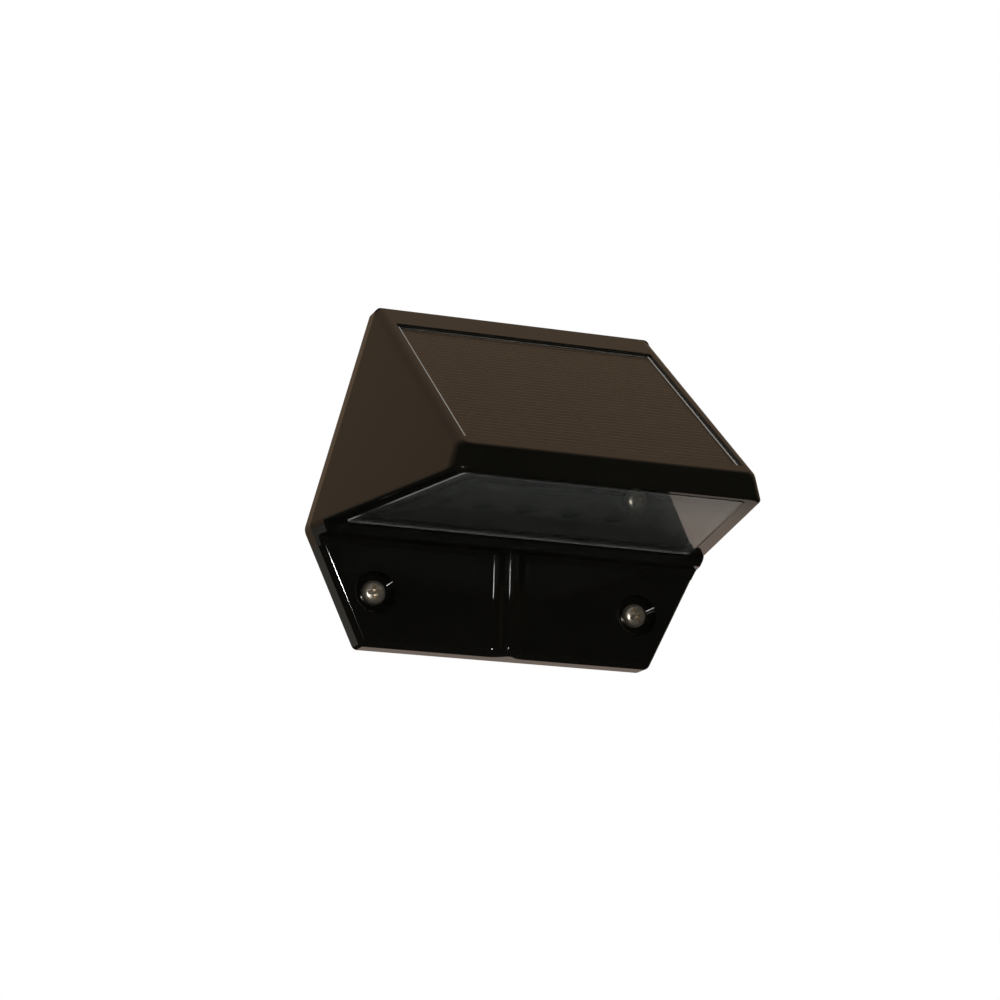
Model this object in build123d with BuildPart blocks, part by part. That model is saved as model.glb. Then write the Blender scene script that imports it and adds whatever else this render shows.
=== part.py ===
from build123d import *
import os
from math import atan2, cos, hypot, sin, sqrt

# Solar fence light: a cast aluminium head with a sloping solar panel on top and a clear
# lens underneath, on a six-sided flange that two pan head screws hold to a fence.
#
# Millimetres. X runs along the fence, to the right as seen from the front. The back of
# the light lies in the plane Y = 0 and the light stands out towards -Y. Z is up. The
# origin is on the back plane, midway between the two mounting screws.
# A depth is always measured from the back plane towards the front, so y = -depth.
# A rise is measured from the line through the two screws upwards, so z = rise.

# ---- outline of the back, seen from the front
width_widest = 127.0        # across the side corners
width_top = 90.5
width_bottom = 93.2
bottom_drop = 17.0          # screw line down to the bottom edge
widest_rise = 18.5          # screw line up to the side corners and the underside
head_height = 71.3          # underside up to the top edge
side_corner_round = 4.0
top_corner_round = 2.0
bottom_corner_round = 2.0

# ---- head and flange
flange_depth = 9.1
edge_round = 2.3            # front edge of the flange
head_depth = 96.4           # back plane to the nose
nose_width = 92.7           # across the lower edge of the nose
nose_height = 7.4
nose_corner_round = 5.0
slope_round = 3.2           # along both sides of the slope and the top of the nose
underside_round = 0.9
bar_depth = 15.9            # front of the bar below the rear of the lens
bar_drop = 3.0
bar_round = 0.7
cove_round = 2.0            # hollow corner between bar and flange
rib_radius = 3.6            # crown of the upright rib
rib_foot_round = 3.9
wall = 2.7
roof_thick = 5.8            # slope surface to the inside, where the panel is let in
floor_thick = 5.1           # underside to the inside, where the lens is let in
nose_wall = 10.4

# ---- mounting screws, no. 8 pan head wood screws
screw_spacing = 84.8
screw_shank = 4.2
screw_thread = 3.6          # mean diameter
screw_hole = 4.8
screw_length = 25.4         # under the head to the tip
screw_tip = 6.0
screw_tip_width = 0.8
screw_head_width = 7.6
screw_head_height = 2.7
screw_head_slope = 1.5      # bevelled part of the head's height
screw_head_top = 4.8
screw_cross_span = 4.6      # driver recess
screw_cross_width = 1.1
screw_cross_depth = 1.3
recess_width = 12.4         # round recess that a head sits in
recess_floor_depth = 5.0    # back plane to the floor of the recess
recess_bevel = 0.6          # round its rim
boss_wall = 2.4             # round a recess, seen from behind
pocket_corner_round = 3.0   # hollow in the back of the flange, between the bosses

# ---- solar panel
panel_from_top = 13.2       # top edge of the slope to the panel, along the slope
panel_from_nose = 5.85      # and its lower end to the nose
panel_side_margin = 2.65    # panel to the side of the slope, at the nose
panel_recess = 0.8          # slope surface down to the clear cover
panel_corner_round = 0.8
panel_clearance = 0.15
panel_ledge = 4.5           # that the panel rests on, at its top and sides
panel_foot = 8.0            # and at its lower end
cover_thick = 1.1           # clear cover
cell_count = 4
cell_gap = 0.6
cell_thick = 0.3
cell_margin = 1.2           # cells to the edge of the backing
backing_thick = 1.2
pad_thick = 0.3
pad_width = 3.5

# ---- lens
lens_from_bar = 2.7
lens_from_nose = 3.6
lens_rear_margin = 5.65     # lens to the side of the underside
lens_front_margin = 5.15
lens_corner_round = 1.2
lens_thick = 2.2
lens_proud = 0.2
lens_clearance = 0.25
bead_thick = 0.5            # sealing ring on the lens
bead_width = 3.0
window_rear_margin = 4.4    # window inside the lens
window_front_margin = 9.8
window_side_margin = 5.8
window_corner_round = 2.0

# ---- reflector and light source
reflector_wall = 1.2
reflector_lip = 2.0
reflector_height = 15.0
crown_rear_margin = 3.5     # crown of the reflector inside the window
crown_front_margin = 33.0
crown_side_margin = 13.0
led_count = 4
led_end_margin = 10.0       # outer lights to the ends of their board
led_width = 5.0
led_flange_width = 5.8
led_flange_thick = 0.8
led_length = 5.2            # from its flange to the tip of its dome
led_bevel = 1.4             # for its dome
led_clearance = 0.25
led_row_margin = 8.5        # rear of the crown to the row of lights
led_board_length = 62.0
led_board_width = 13.0
board_thick = 1.6
led_screw_margin = 4.0      # screws to the ends of the board
board_screw_width = 2.0
board_screw_head = 3.6
board_screw_head_thick = 1.2
board_screw_length = 3.4
board_screw_clearance = 0.2
board_boss_width = 5.0

# ---- back cover, with the battery bay moulded into it
seat_depth = 3.2            # back plane to the ledge that carries the cover
ledge_width = 2.5
cover_recess = 0.2          # back plane to the outer face of the cover
cover_plate = 2.4
cover_clearance = 0.3
cover_corner_round = 2.0
cover_boss_width = 7.0
cover_boss_depth = 10.0
cover_screw_inset = 3.2     # screw centre to the edges of the opening
cover_screw_width = 2.5
cover_screw_head = 4.6
cover_screw_head_thick = 1.4
cover_screw_length = 7.0
cover_screw_clearance = 0.2
head_clearance = 0.3        # round a sunk screw head
door_thick = 1.6
door_clearance = 0.25
door_gasket_thick = 0.5
door_side_ledge = 3.0
door_end_ledge = 6.0
door_corner_round = 2.0
door_screw_width = 2.0
door_screw_head = 3.6
door_screw_head_thick = 0.9
door_screw_length = 5.0
collar_wall = 1.4
bay_rise = 56.0             # screw line up to the battery's axis
battery_width = 14.5        # one AA cell
battery_length = 49.5
battery_tip_width = 5.5
battery_tip_length = 1.0
battery_clearance = 0.5
contact_thick = 0.4
contact_height = 9.0
contact_leaf = 2.6          # how far the leaf stands out
contact_gap = 0.1
contact_margin = 1.5        # contacts to the rim of the bay

# ---- control board and switch
control_length = 44.0
control_height = 18.0
control_depth = 8.0         # back plane to the near side of the board
control_rise = 35.0
control_screw_pitch = 36.0
chip_length = 9.0
chip_height = 5.0
chip_thick = 1.6
coil_width = 6.5
coil_thick = 4.0
capacitor_width = 5.0
capacitor_thick = 7.0
part_pitch = 11.0
switch_length = 12.0
switch_height = 6.0
switch_depth = 3.0          # back plane to the switch's outer face
switch_pocket = 2.6
slider_length = 3.2
slider_height = 2.6
slider_travel = 3.0
slider_clearance = 0.3
slider_tip_depth = 0.9      # back plane to the tip of the slider

# ---- worked out from the sizes above
half_widest = width_widest / 2
half_top = width_top / 2
half_bottom = width_bottom / 2
half_nose = nose_width / 2
half_spacing = screw_spacing / 2
screw_shank_length = recess_floor_depth    # plain part, through the flange
bottom_z = -bottom_drop
under_z = widest_rise
top_z = widest_rise + head_height
nose_top_z = under_z + nose_height
bar_z = under_z - bar_drop
floor_z = under_z + floor_thick
band_depth = flange_depth - edge_round
cavity_depth = head_depth - nose_wall
lean = (half_widest - half_nose) / (head_depth - band_depth)
taper = (half_widest - half_top) / head_height
lower_taper = (half_widest - half_bottom) / (widest_rise + bottom_drop)
pitch = (top_z - nose_top_z) / (head_depth - band_depth)
slope_angle = atan2(pitch, 1)
cheek_stretch = sqrt(1 + lean ** 2 + taper ** 2)
roof_stretch = hypot(1, pitch)
tiny = 0.01                 # for telling edges and corners apart

# a round piece ahead of its work plane, or behind it
ahead = (Align.CENTER, Align.CENTER, Align.MIN)
behind = (Align.CENTER, Align.CENTER, Align.MAX)

os.makedirs("parts", exist_ok=True)


def save(piece, name):
    """label a finished piece and write it"""
    piece.part.label = name
    export_step(piece.part, f"parts/{name}.step")


def cheek_x(depth, rise, inset=0.0):
    """half width of the head, less a wall of thickness inset"""
    full = half_widest - lean * (depth - band_depth) - taper * (rise - under_z)
    return full - inset * cheek_stretch


def roof_z(depth, inset=0.0):
    """height of the slope, less a roof of thickness inset"""
    return top_z - pitch * (depth - band_depth) - inset * roof_stretch


def cheek_plane(side, rear, rear_half, front, front_half, steepness):
    """plane on one side of the light, facing out, that passes through one half width at a
    rear depth and another at a front depth, both level with the side corners, and leans in
    by steepness above them"""
    narrowing = (rear_half - front_half) / (front - rear)
    return Plane(origin=(side * rear_half, -rear, under_z), z_dir=(side, -narrowing, steepness))


def mouth_section(grow=0.0):
    """opening in the back of the head, grown all round"""
    low = floor_z - grow
    high = roof_z(band_depth, roof_thick) + grow
    low_half = cheek_x(band_depth, low, wall + ledge_width - grow)
    high_half = cheek_x(band_depth, high, wall + ledge_width - grow)
    return [(-low_half, low), (low_half, low), (high_half, high), (-high_half, high)]


def underside_section(rear, front, rear_width, front_width, grow=0.0):
    """window in the underside, seen from above, grown all round"""
    narrowing = (rear_width - front_width) / 2 / (front - rear)
    wider = grow * hypot(1, narrowing)
    rear_half = rear_width / 2 + narrowing * grow + wider
    front_half = front_width / 2 - narrowing * grow + wider
    return [(-rear_half, grow - rear), (rear_half, grow - rear),
            (front_half, -grow - front), (-front_half, -grow - front)]


def draw(points, mode=Mode.ADD):
    """straight-sided face in the sketch that is being made"""
    with BuildLine() as rim:
        Polyline(*points, close=True)
    make_face(rim.edges(), mode=mode)


def lens_section(grow=0.0):
    return underside_section(lens_rear_depth, lens_front_depth,
                             lens_rear_width, lens_front_width, grow)


def window_section(grow=0.0):
    return underside_section(window_rear_depth, window_front_depth,
                             window_rear_width, window_front_width, grow)


def hopper(grow, high):
    """space over the window that narrows to the reflector's crown, grown on all sides"""
    rise = high - floor_z
    steepness = crown_side_margin / reflector_height
    half = window_rear_width / 2 + grow * hypot(1, lens_narrowing, steepness)
    with BuildPart() as space:
        with BuildSketch(Plane.YZ):
            draw([(grow - window_rear_depth, floor_z), (-grow - window_front_depth, floor_z),
                  (-grow - window_front_depth + front_run * rise, high),
                  (grow - window_rear_depth - rear_run * rise, high)])
        extrude(amount=width_widest, both=True)
        for side in (-1, 1):
            split(bisect_by=Plane(origin=(side * half, -window_rear_depth, floor_z),
                                  z_dir=(side, -lens_narrowing, steepness)), keep=Keep.BOTTOM)
    return space.part


# lens, then window, then the reflector's crown, each of which narrows towards the front
lens_rear_depth = bar_depth + lens_from_bar
lens_front_depth = head_depth - lens_from_nose
lens_rear_width = 2 * (cheek_x(lens_rear_depth, under_z) - lens_rear_margin)
lens_front_width = 2 * (cheek_x(lens_front_depth, under_z) - lens_front_margin)
lens_narrowing = (lens_rear_width - lens_front_width) / 2 / (lens_front_depth - lens_rear_depth)
window_rear_depth = lens_rear_depth + window_rear_margin
window_front_depth = lens_front_depth - window_front_margin
window_rear_width = lens_rear_width - 2 * (window_side_margin + lens_narrowing * window_rear_margin)
window_front_width = (window_rear_width
                      - 2 * lens_narrowing * (window_front_depth - window_rear_depth))
crown_rear_depth = window_rear_depth + crown_rear_margin
crown_front_depth = window_front_depth - crown_front_margin
rear_run = crown_rear_margin / reflector_height
front_run = crown_front_margin / reflector_height

# lights and the screws of their board
led_row_depth = crown_rear_depth + led_row_margin
led_pitch = (led_board_length - 2 * led_end_margin) / (led_count - 1)
led_screw_pitch = led_board_length - 2 * led_screw_margin

# cheeks, outside and inside: depth and half width at the rear, and the same in front
outer_cheek = (band_depth, half_widest, head_depth, half_nose)
inner_cheek = (seat_depth, cheek_x(band_depth, under_z, wall + ledge_width),
               cavity_depth, cheek_x(cavity_depth, under_z, wall))

# on the slope, with its origin in the middle of the top edge, and its Y up the slope
slope_plane = Plane(origin=(0, -band_depth, top_z), x_dir=(1, 0, 0),
                    z_dir=(0, -sin(slope_angle), cos(slope_angle)))
panel_width = 2 * (cheek_x(head_depth, nose_top_z) - panel_side_margin)
panel_length = (hypot(head_depth - band_depth, top_z - nose_top_z)
                - panel_from_top - panel_from_nose)
panel_y = -(panel_from_top + panel_length / 2)
pad_depth = panel_recess + cover_thick + cell_thick + backing_thick
pocket_depth = pad_depth + pad_thick
layer_width = panel_width - 2 * panel_clearance
layer_length = panel_length - 2 * panel_clearance
cell_pitch = (layer_width - 2 * cell_margin + cell_gap) / cell_count

# mouth corners, for the screws of the back cover
low_screw_z = mouth_section()[0][1] + cover_screw_inset
high_screw_z = mouth_section()[2][1] - cover_screw_inset
low_screw_x = cheek_x(band_depth, low_screw_z, wall + ledge_width + cover_screw_inset)
high_screw_x = cheek_x(band_depth, high_screw_z, wall + ledge_width + cover_screw_inset)
cover_screw_places = [(-low_screw_x, low_screw_z), (low_screw_x, low_screw_z),
                      (-high_screw_x, high_screw_z), (high_screw_x, high_screw_z)]

# battery bay
cover_inner = cover_recess + cover_plate
door_seat = cover_recess + door_thick + door_gasket_thick
battery_axis = cover_recess + door_thick + battery_clearance + battery_width / 2
bay_length = battery_length + battery_tip_length + contact_leaf + 2 * (contact_thick + contact_gap)
bay_height = battery_width + 2 * battery_clearance
collar_width = door_clearance + collar_wall
bay_floor = battery_axis + battery_width / 2 + battery_clearance
door_length = bay_length + 2 * door_end_ledge
door_height = bay_height + 2 * door_side_ledge
door_screw_pitch = bay_length + door_end_ledge

# switch
slot_length = slider_length + slider_travel + 2 * slider_clearance
slot_height = slider_height + 2 * slider_clearance
slider_x = -slider_travel / 2


# ---- housing: the six-sided outline of its back
with BuildSketch() as back_outline:
    draw([(-half_bottom, bottom_z), (half_bottom, bottom_z), (half_widest, under_z),
          (half_top, top_z), (-half_top, top_z), (-half_widest, under_z)])
    widest = back_outline.vertices().group_by(Axis.X)
    fillet(widest[0] + widest[-1], side_corner_round)
    fillet(back_outline.vertices().group_by(Axis.Y)[0], bottom_corner_round)
    fillet(back_outline.vertices().group_by(Axis.Y)[-1], top_corner_round)

# ---- housing: flange with its upright rib, both up to just inside the bar
flange_top = Plane.XY.offset(bar_z - bar_drop / 2)

with BuildPart() as flange:
    with BuildSketch(Plane.XZ):
        add(back_outline.sketch)
    extrude(amount=flange_depth)
    split(bisect_by=flange_top, keep=Keep.BOTTOM)
    with BuildSketch(Plane.XY.offset(bottom_z)) as rib_profile:
        with Locations((0, -flange_depth)):
            Circle(rib_radius)
            Rectangle(2 * rib_radius, rib_radius, align=(Align.CENTER, Align.MAX),
                      mode=Mode.INTERSECT)
            Rectangle(6 * rib_radius, wall / 2, align=(Align.CENTER, Align.MIN))
        rib_feet = rib_profile.vertices().filter_by(
            lambda v: abs(abs(v.X) - rib_radius) < tiny)
        fillet(rib_feet, rib_foot_round)
    extrude(amount=bar_z + bar_drop / 2 - bottom_z)
    front_edges = flange.edges().filter_by(
        lambda e: e.center().Y < tiny - flange_depth and e.center().Z < flange_top.origin.Z - tiny
        and (e.center().Z < bottom_z + tiny or abs(e.center().X) > 3 * rib_radius))
    fillet(front_edges, edge_round)
    with BuildSketch(Plane.XZ.offset(recess_floor_depth)):
        with GridLocations(screw_spacing, 1, 2, 1):
            Circle(recess_width / 2)
    extrude(amount=flange_depth - recess_floor_depth, mode=Mode.SUBTRACT)
    with BuildSketch(Plane.XZ):
        with GridLocations(screw_spacing, 1, 2, 1):
            Circle(screw_hole / 2)
    extrude(amount=recess_floor_depth, mode=Mode.SUBTRACT)
    recess_rims = flange.edges().filter_by(GeomType.CIRCLE).filter_by(
        lambda e: abs(e.radius - recess_width / 2) < tiny
        and abs(e.center().Y + flange_depth) < tiny)
    chamfer(recess_rims, recess_bevel)
    with BuildSketch(Plane.XZ):
        with Locations((0, (bottom_z + wall + bar_z - wall) / 2)):
            RectangleRounded(screw_spacing - recess_width - 2 * boss_wall,
                             bar_z - bottom_z - 2 * wall, pocket_corner_round)
    extrude(amount=flange_depth - wall, mode=Mode.SUBTRACT)

# ---- housing: bar, with the hollow corner that leads from it to the flange
with BuildPart() as bar:
    with BuildSketch(Plane.YZ) as bar_profile:
        draw([(-band_depth, bar_z - bar_drop), (-flange_depth, bar_z - bar_drop),
              (-flange_depth, bar_z), (-bar_depth, bar_z),
              (-bar_depth, under_z + bar_drop), (-band_depth, under_z + bar_drop)])
        inner_corner = bar_profile.vertices().filter_by(
            lambda v: abs(v.X + flange_depth) < tiny and abs(v.Y - bar_z) < tiny)
        outer_corner = bar_profile.vertices().filter_by(
            lambda v: abs(v.X + bar_depth) < tiny and abs(v.Y - bar_z) < tiny)
        fillet(inner_corner, cove_round)
        fillet(outer_corner, bar_round)
    extrude(amount=width_widest, both=True)
    for side in (-1, 1):
        split(bisect_by=cheek_plane(side, *outer_cheek, taper), keep=Keep.BOTTOM)
        split(bisect_by=cheek_plane(side, *outer_cheek, -lower_taper), keep=Keep.BOTTOM)
    bar_corners = bar.edges().filter_by(
        lambda e: abs(e.center().Z - under_z) < tiny and abs(e.center().X) > half_nose)
    fillet(bar_corners, side_corner_round)

# ---- housing: head, which tapers to the nose
with BuildPart() as head:
    with BuildSketch(Plane.YZ):
        draw([(-band_depth, under_z), (-head_depth, under_z),
              (-head_depth, nose_top_z), (-band_depth, top_z)])
    extrude(amount=width_widest, both=True)
    for side in (-1, 1):
        split(bisect_by=cheek_plane(side, *outer_cheek, taper), keep=Keep.BOTTOM)
    nose = head.faces().sort_by(Axis.Y)[0]
    nose_sides = nose.edges().filter_by(lambda e: abs(e.center().X) > tiny)
    fillet(nose_sides, nose_corner_round)
    nose = head.faces().sort_by(Axis.Y)[0]
    slope = head.faces().sort_by(lambda f: f.normal_at().Z)[-1]
    slope_rim = slope.edges().filter_by(lambda e: e.center().Y < -band_depth - tiny)
    fillet(slope_rim, slope_round)
    underside = head.faces().sort_by(lambda f: f.normal_at().Z)[0]
    underside_rim = underside.edges().filter_by(lambda e: e.center().Y < -band_depth - tiny)
    fillet(underside_rim, underside_round)

# ---- housing: space inside the head, a little narrower at its mouth so that a core draws out
with BuildPart() as cavity:
    with BuildSketch(Plane.YZ):
        draw([(-seat_depth, floor_z), (-cavity_depth, floor_z),
              (-cavity_depth, roof_z(cavity_depth, roof_thick)),
              (-seat_depth, roof_z(band_depth, roof_thick))])
    extrude(amount=width_widest, both=True)
    for side in (-1, 1):
        split(bisect_by=cheek_plane(side, *inner_cheek, taper), keep=Keep.BOTTOM)

# ---- housing: all of it, hollowed from the back
with BuildPart() as housing:
    with BuildSketch(Plane.XZ):
        add(back_outline.sketch)
    extrude(amount=band_depth)
    split(bisect_by=flange_top, keep=Keep.TOP)
    add(flange.part)
    add(bar.part)
    add(head.part)
    add(cavity.part, mode=Mode.SUBTRACT)
    with BuildSketch(Plane.XZ) as cover_seat:
        draw(mouth_section(ledge_width))
        fillet(cover_seat.vertices(), cover_corner_round)
    extrude(amount=seat_depth, mode=Mode.SUBTRACT)
    with BuildSketch(Plane.XZ.offset(seat_depth)):
        with Locations(*cover_screw_places):
            Circle(cover_boss_width / 2)
    extrude(amount=cover_boss_depth - seat_depth)
    with BuildSketch(Plane.XZ.offset(seat_depth)):
        with Locations(*cover_screw_places):
            Circle(cover_screw_width / 2 + cover_screw_clearance)
    extrude(amount=cover_screw_length, mode=Mode.SUBTRACT)

    with BuildSketch(slope_plane):
        with Locations((0, panel_y)):
            RectangleRounded(panel_width, panel_length, panel_corner_round)
    extrude(amount=-pocket_depth, mode=Mode.SUBTRACT)
    with BuildSketch(slope_plane):
        with Locations((0, panel_y + (panel_foot - panel_ledge) / 2)):
            Rectangle(panel_width - 2 * panel_ledge, panel_length - panel_ledge - panel_foot)
    extrude(amount=-(roof_thick + wall), mode=Mode.SUBTRACT)

    with BuildSketch(Plane.XY.offset(under_z)) as lens_seat:
        draw(lens_section(lens_clearance))
        fillet(lens_seat.vertices(), lens_corner_round + lens_clearance)
    extrude(amount=lens_thick - lens_proud + bead_thick, mode=Mode.SUBTRACT)
    with BuildSketch(Plane.XY.offset(under_z)) as window:
        draw(window_section())
        fillet(window.vertices(), window_corner_round)
    extrude(amount=floor_thick + tiny, mode=Mode.SUBTRACT)
save(housing, "housing")


# ---- mounting screws
for side, name in ((-1, "mounting_screw_left"), (1, "mounting_screw_right")):
    with BuildPart(Plane.XZ.offset(recess_floor_depth)) as screw:
        with Locations((side * half_spacing, 0)):
            Cylinder(screw_head_width / 2, screw_head_height - screw_head_slope, align=ahead)
            with Locations((0, 0, screw_head_height - screw_head_slope)):
                Cone(screw_head_width / 2, screw_head_top / 2, screw_head_slope, align=ahead)
            Cylinder(screw_shank / 2, screw_shank_length, align=behind)
            Cylinder(screw_thread / 2, screw_length - screw_tip, align=behind)
            with Locations((0, 0, screw_tip - screw_length)):
                Cone(screw_tip_width / 2, screw_thread / 2, screw_tip, align=behind)
        with Locations((side * half_spacing, 0, screw_head_height)):
            Box(screw_cross_span, screw_cross_width, screw_cross_depth, align=behind,
                mode=Mode.SUBTRACT)
            Box(screw_cross_width, screw_cross_span, screw_cross_depth, align=behind,
                mode=Mode.SUBTRACT)
    save(screw, name)


# ---- solar panel, from the clear cover down to the sealing pad
def panel_face(below_slope):
    """outline of the panel's layers, at a depth below the slope"""
    with BuildSketch(slope_plane.offset(-below_slope)) as face:
        with Locations((0, panel_y)):
            RectangleRounded(layer_width, layer_length, panel_corner_round)
    return face.sketch


with BuildPart() as solar_cover:
    extrude(panel_face(panel_recess), amount=-cover_thick)
save(solar_cover, "solar_cover")

for number in range(cell_count):
    cell_x = (number - (cell_count - 1) / 2) * cell_pitch
    with BuildPart() as solar_cell:
        with BuildSketch(slope_plane.offset(-panel_recess - cover_thick)):
            with Locations((cell_x, panel_y)):
                Rectangle(cell_pitch - cell_gap, layer_length - 2 * cell_margin)
        extrude(amount=-cell_thick)
    save(solar_cell, f"solar_cell_{number + 1}")

with BuildPart() as solar_backing:
    extrude(panel_face(pad_depth - backing_thick), amount=-backing_thick)
save(solar_backing, "solar_backing")

with BuildPart() as panel_pad:
    extrude(panel_face(pad_depth), amount=-pad_thick)
    with BuildSketch(slope_plane.offset(-pad_depth)):
        with Locations((0, panel_y)):
            Rectangle(layer_width - 2 * pad_width, layer_length - 2 * pad_width)
    extrude(amount=-pad_thick, mode=Mode.SUBTRACT)
save(panel_pad, "panel_pad")

# ---- lens and the bead that seals it
lens_low = under_z - lens_proud
lens_high = lens_low + lens_thick

with BuildPart() as lens:
    with BuildSketch(Plane.XY.offset(lens_low)) as lens_face:
        draw(lens_section())
        fillet(lens_face.vertices(), lens_corner_round)
    extrude(amount=lens_thick)
save(lens, "lens")

with BuildPart() as lens_bead:
    with BuildSketch(Plane.XY.offset(lens_high)) as bead_face:
        draw(lens_section())
        fillet(bead_face.vertices(), lens_corner_round)
        draw(lens_section(-bead_width), mode=Mode.SUBTRACT)
    extrude(amount=bead_thick)
save(lens_bead, "lens_bead")

# ---- reflector: a hopper over the window, with the light source on its crown
crown_z = floor_z + reflector_height

with BuildPart() as reflector:
    add(hopper(reflector_wall, crown_z))
    with BuildSketch(Plane.XY.offset(floor_z)):
        draw(window_section(reflector_lip))
    extrude(amount=reflector_wall)
    add(hopper(0, crown_z - reflector_wall), mode=Mode.SUBTRACT)
    with BuildSketch(Plane.XY.offset(crown_z)):
        with Locations((0, -led_row_depth)):
            with GridLocations(led_screw_pitch, 1, 2, 1):
                Circle(board_boss_width / 2)
    extrude(amount=led_flange_thick)
    with BuildSketch(Plane.XY.offset(crown_z - reflector_wall)):
        with Locations((0, -led_row_depth)):
            with GridLocations(led_pitch, 1, led_count, 1):
                Circle(led_width / 2 + led_clearance)
            with GridLocations(led_screw_pitch, 1, 2, 1):
                Circle(board_screw_width / 2 + board_screw_clearance)
    extrude(amount=reflector_wall + led_flange_thick, mode=Mode.SUBTRACT)
save(reflector, "reflector")

led_board_z = crown_z + led_flange_thick

with BuildPart() as led_board:
    with BuildSketch(Plane.XY.offset(led_board_z)):
        with Locations((0, -led_row_depth)):
            Rectangle(led_board_length, led_board_width)
            with GridLocations(led_screw_pitch, 1, 2, 1):
                Circle(board_screw_width / 2 + board_screw_clearance, mode=Mode.SUBTRACT)
    extrude(amount=board_thick)
save(led_board, "led_board")

for number in range(led_count):
    led_x = (number - (led_count - 1) / 2) * led_pitch
    with BuildPart(Plane.XY.offset(led_board_z)) as led:
        with Locations((led_x, -led_row_depth)):
            Cylinder(led_flange_width / 2, led_flange_thick, align=behind)
            Cylinder(led_width / 2, led_flange_thick + led_length, align=behind)
        chamfer(led.edges().filter_by(GeomType.CIRCLE).sort_by(Axis.Z)[0], led_bevel)
    save(led, f"led_{number + 1}")

for number, side in enumerate((-1, 1), 1):
    with BuildPart(Plane.XY.offset(led_board_z + board_thick)) as screw:
        with Locations((side * led_screw_pitch / 2, -led_row_depth)):
            Cylinder(board_screw_head / 2, board_screw_head_thick, align=ahead)
            Cylinder(board_screw_width / 2, board_screw_length, align=behind)
    save(screw, f"led_board_screw_{number}")

# ---- back cover: plate, collar of the battery door, battery bay, board posts
with BuildPart() as back_cover:
    with BuildSketch(Plane.XZ.offset(cover_recess)) as plate:
        draw(mouth_section(ledge_width - cover_clearance))
        fillet(plate.vertices(), cover_corner_round)
    extrude(amount=cover_plate)
    with BuildSketch(Plane.XZ.offset(cover_recess)):
        with Locations((0, bay_rise)):
            RectangleRounded(door_length + 2 * collar_width, door_height + 2 * collar_width,
                             door_corner_round + collar_width)
    extrude(amount=door_seat + collar_wall - cover_recess)
    with BuildSketch(Plane.XZ.offset(door_seat)):
        with Locations((0, bay_rise)):
            Rectangle(bay_length + 2 * collar_wall, bay_height + 2 * collar_wall)
    extrude(amount=bay_floor + collar_wall - door_seat)
    with BuildSketch(Plane.XZ.offset(door_seat)):
        with Locations((0, bay_rise)):
            with GridLocations(door_screw_pitch, 1, 2, 1):
                Circle(board_boss_width / 2)
    extrude(amount=door_screw_length)
    with BuildSketch(Plane.XZ.offset(cover_recess)):
        with Locations((0, control_rise)):
            with GridLocations(control_screw_pitch, 1, 2, 1):
                Circle(board_boss_width / 2)
    extrude(amount=control_depth - cover_recess)

    with BuildSketch(Plane.XZ.offset(cover_recess)):
        with Locations((0, bay_rise)):
            RectangleRounded(door_length + 2 * door_clearance, door_height + 2 * door_clearance,
                             door_corner_round)
    extrude(amount=door_seat - cover_recess, mode=Mode.SUBTRACT)
    with BuildSketch(Plane.XZ.offset(door_seat)):
        with Locations((0, bay_rise)):
            Rectangle(bay_length, bay_height)
    extrude(amount=bay_floor - door_seat, mode=Mode.SUBTRACT)
    with BuildSketch(Plane.XZ.offset(door_seat)):
        with Locations((0, bay_rise)):
            with GridLocations(door_screw_pitch, 1, 2, 1):
                Circle(door_screw_width / 2 + board_screw_clearance)
    extrude(amount=door_screw_length - board_screw_clearance, mode=Mode.SUBTRACT)
    with BuildSketch(Plane.XZ.offset(control_depth - board_screw_length)):
        with Locations((0, control_rise)):
            with GridLocations(control_screw_pitch, 1, 2, 1):
                Circle(board_screw_width / 2 + board_screw_clearance)
    extrude(amount=board_screw_length, mode=Mode.SUBTRACT)
    with BuildSketch(Plane.XZ.offset(cover_recess)):
        with Locations(*cover_screw_places):
            Circle(cover_screw_width / 2 + cover_screw_clearance)
        with Locations((0, control_rise)):
            Rectangle(slot_length, slot_height)
    extrude(amount=cover_plate, mode=Mode.SUBTRACT)
    with BuildSketch(Plane.XZ.offset(cover_recess)):
        with Locations(*cover_screw_places):
            Circle(cover_screw_head / 2 + head_clearance)
    extrude(amount=cover_screw_head_thick, mode=Mode.SUBTRACT)
save(back_cover, "back_cover")

with BuildPart() as back_gasket:
    with BuildSketch(Plane.XZ.offset(cover_inner)) as ring:
        draw(mouth_section(ledge_width - cover_clearance))
        fillet(ring.vertices(), cover_corner_round)
        draw(mouth_section(), mode=Mode.SUBTRACT)
    extrude(amount=seat_depth - cover_inner)
save(back_gasket, "back_gasket")

for number, place in enumerate(cover_screw_places, 1):
    with BuildPart(Plane.XZ.offset(cover_recess + cover_screw_head_thick)) as screw:
        with Locations(place):
            Cylinder(cover_screw_head / 2, cover_screw_head_thick, align=behind)
            Cylinder(cover_screw_width / 2, cover_screw_length, align=ahead)
    save(screw, f"back_cover_screw_{number}")

# ---- battery door
with BuildPart() as battery_door:
    with BuildSketch(Plane.XZ.offset(cover_recess)):
        with Locations((0, bay_rise)):
            RectangleRounded(door_length, door_height, door_corner_round - door_clearance)
            with GridLocations(door_screw_pitch, 1, 2, 1):
                Circle(door_screw_width / 2 + board_screw_clearance, mode=Mode.SUBTRACT)
    extrude(amount=door_thick)
    with BuildSketch(Plane.XZ.offset(cover_recess)):
        with Locations((0, bay_rise)):
            with GridLocations(door_screw_pitch, 1, 2, 1):
                Circle(door_screw_head / 2 + head_clearance)
    extrude(amount=door_screw_head_thick, mode=Mode.SUBTRACT)
save(battery_door, "battery_door")

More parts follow.
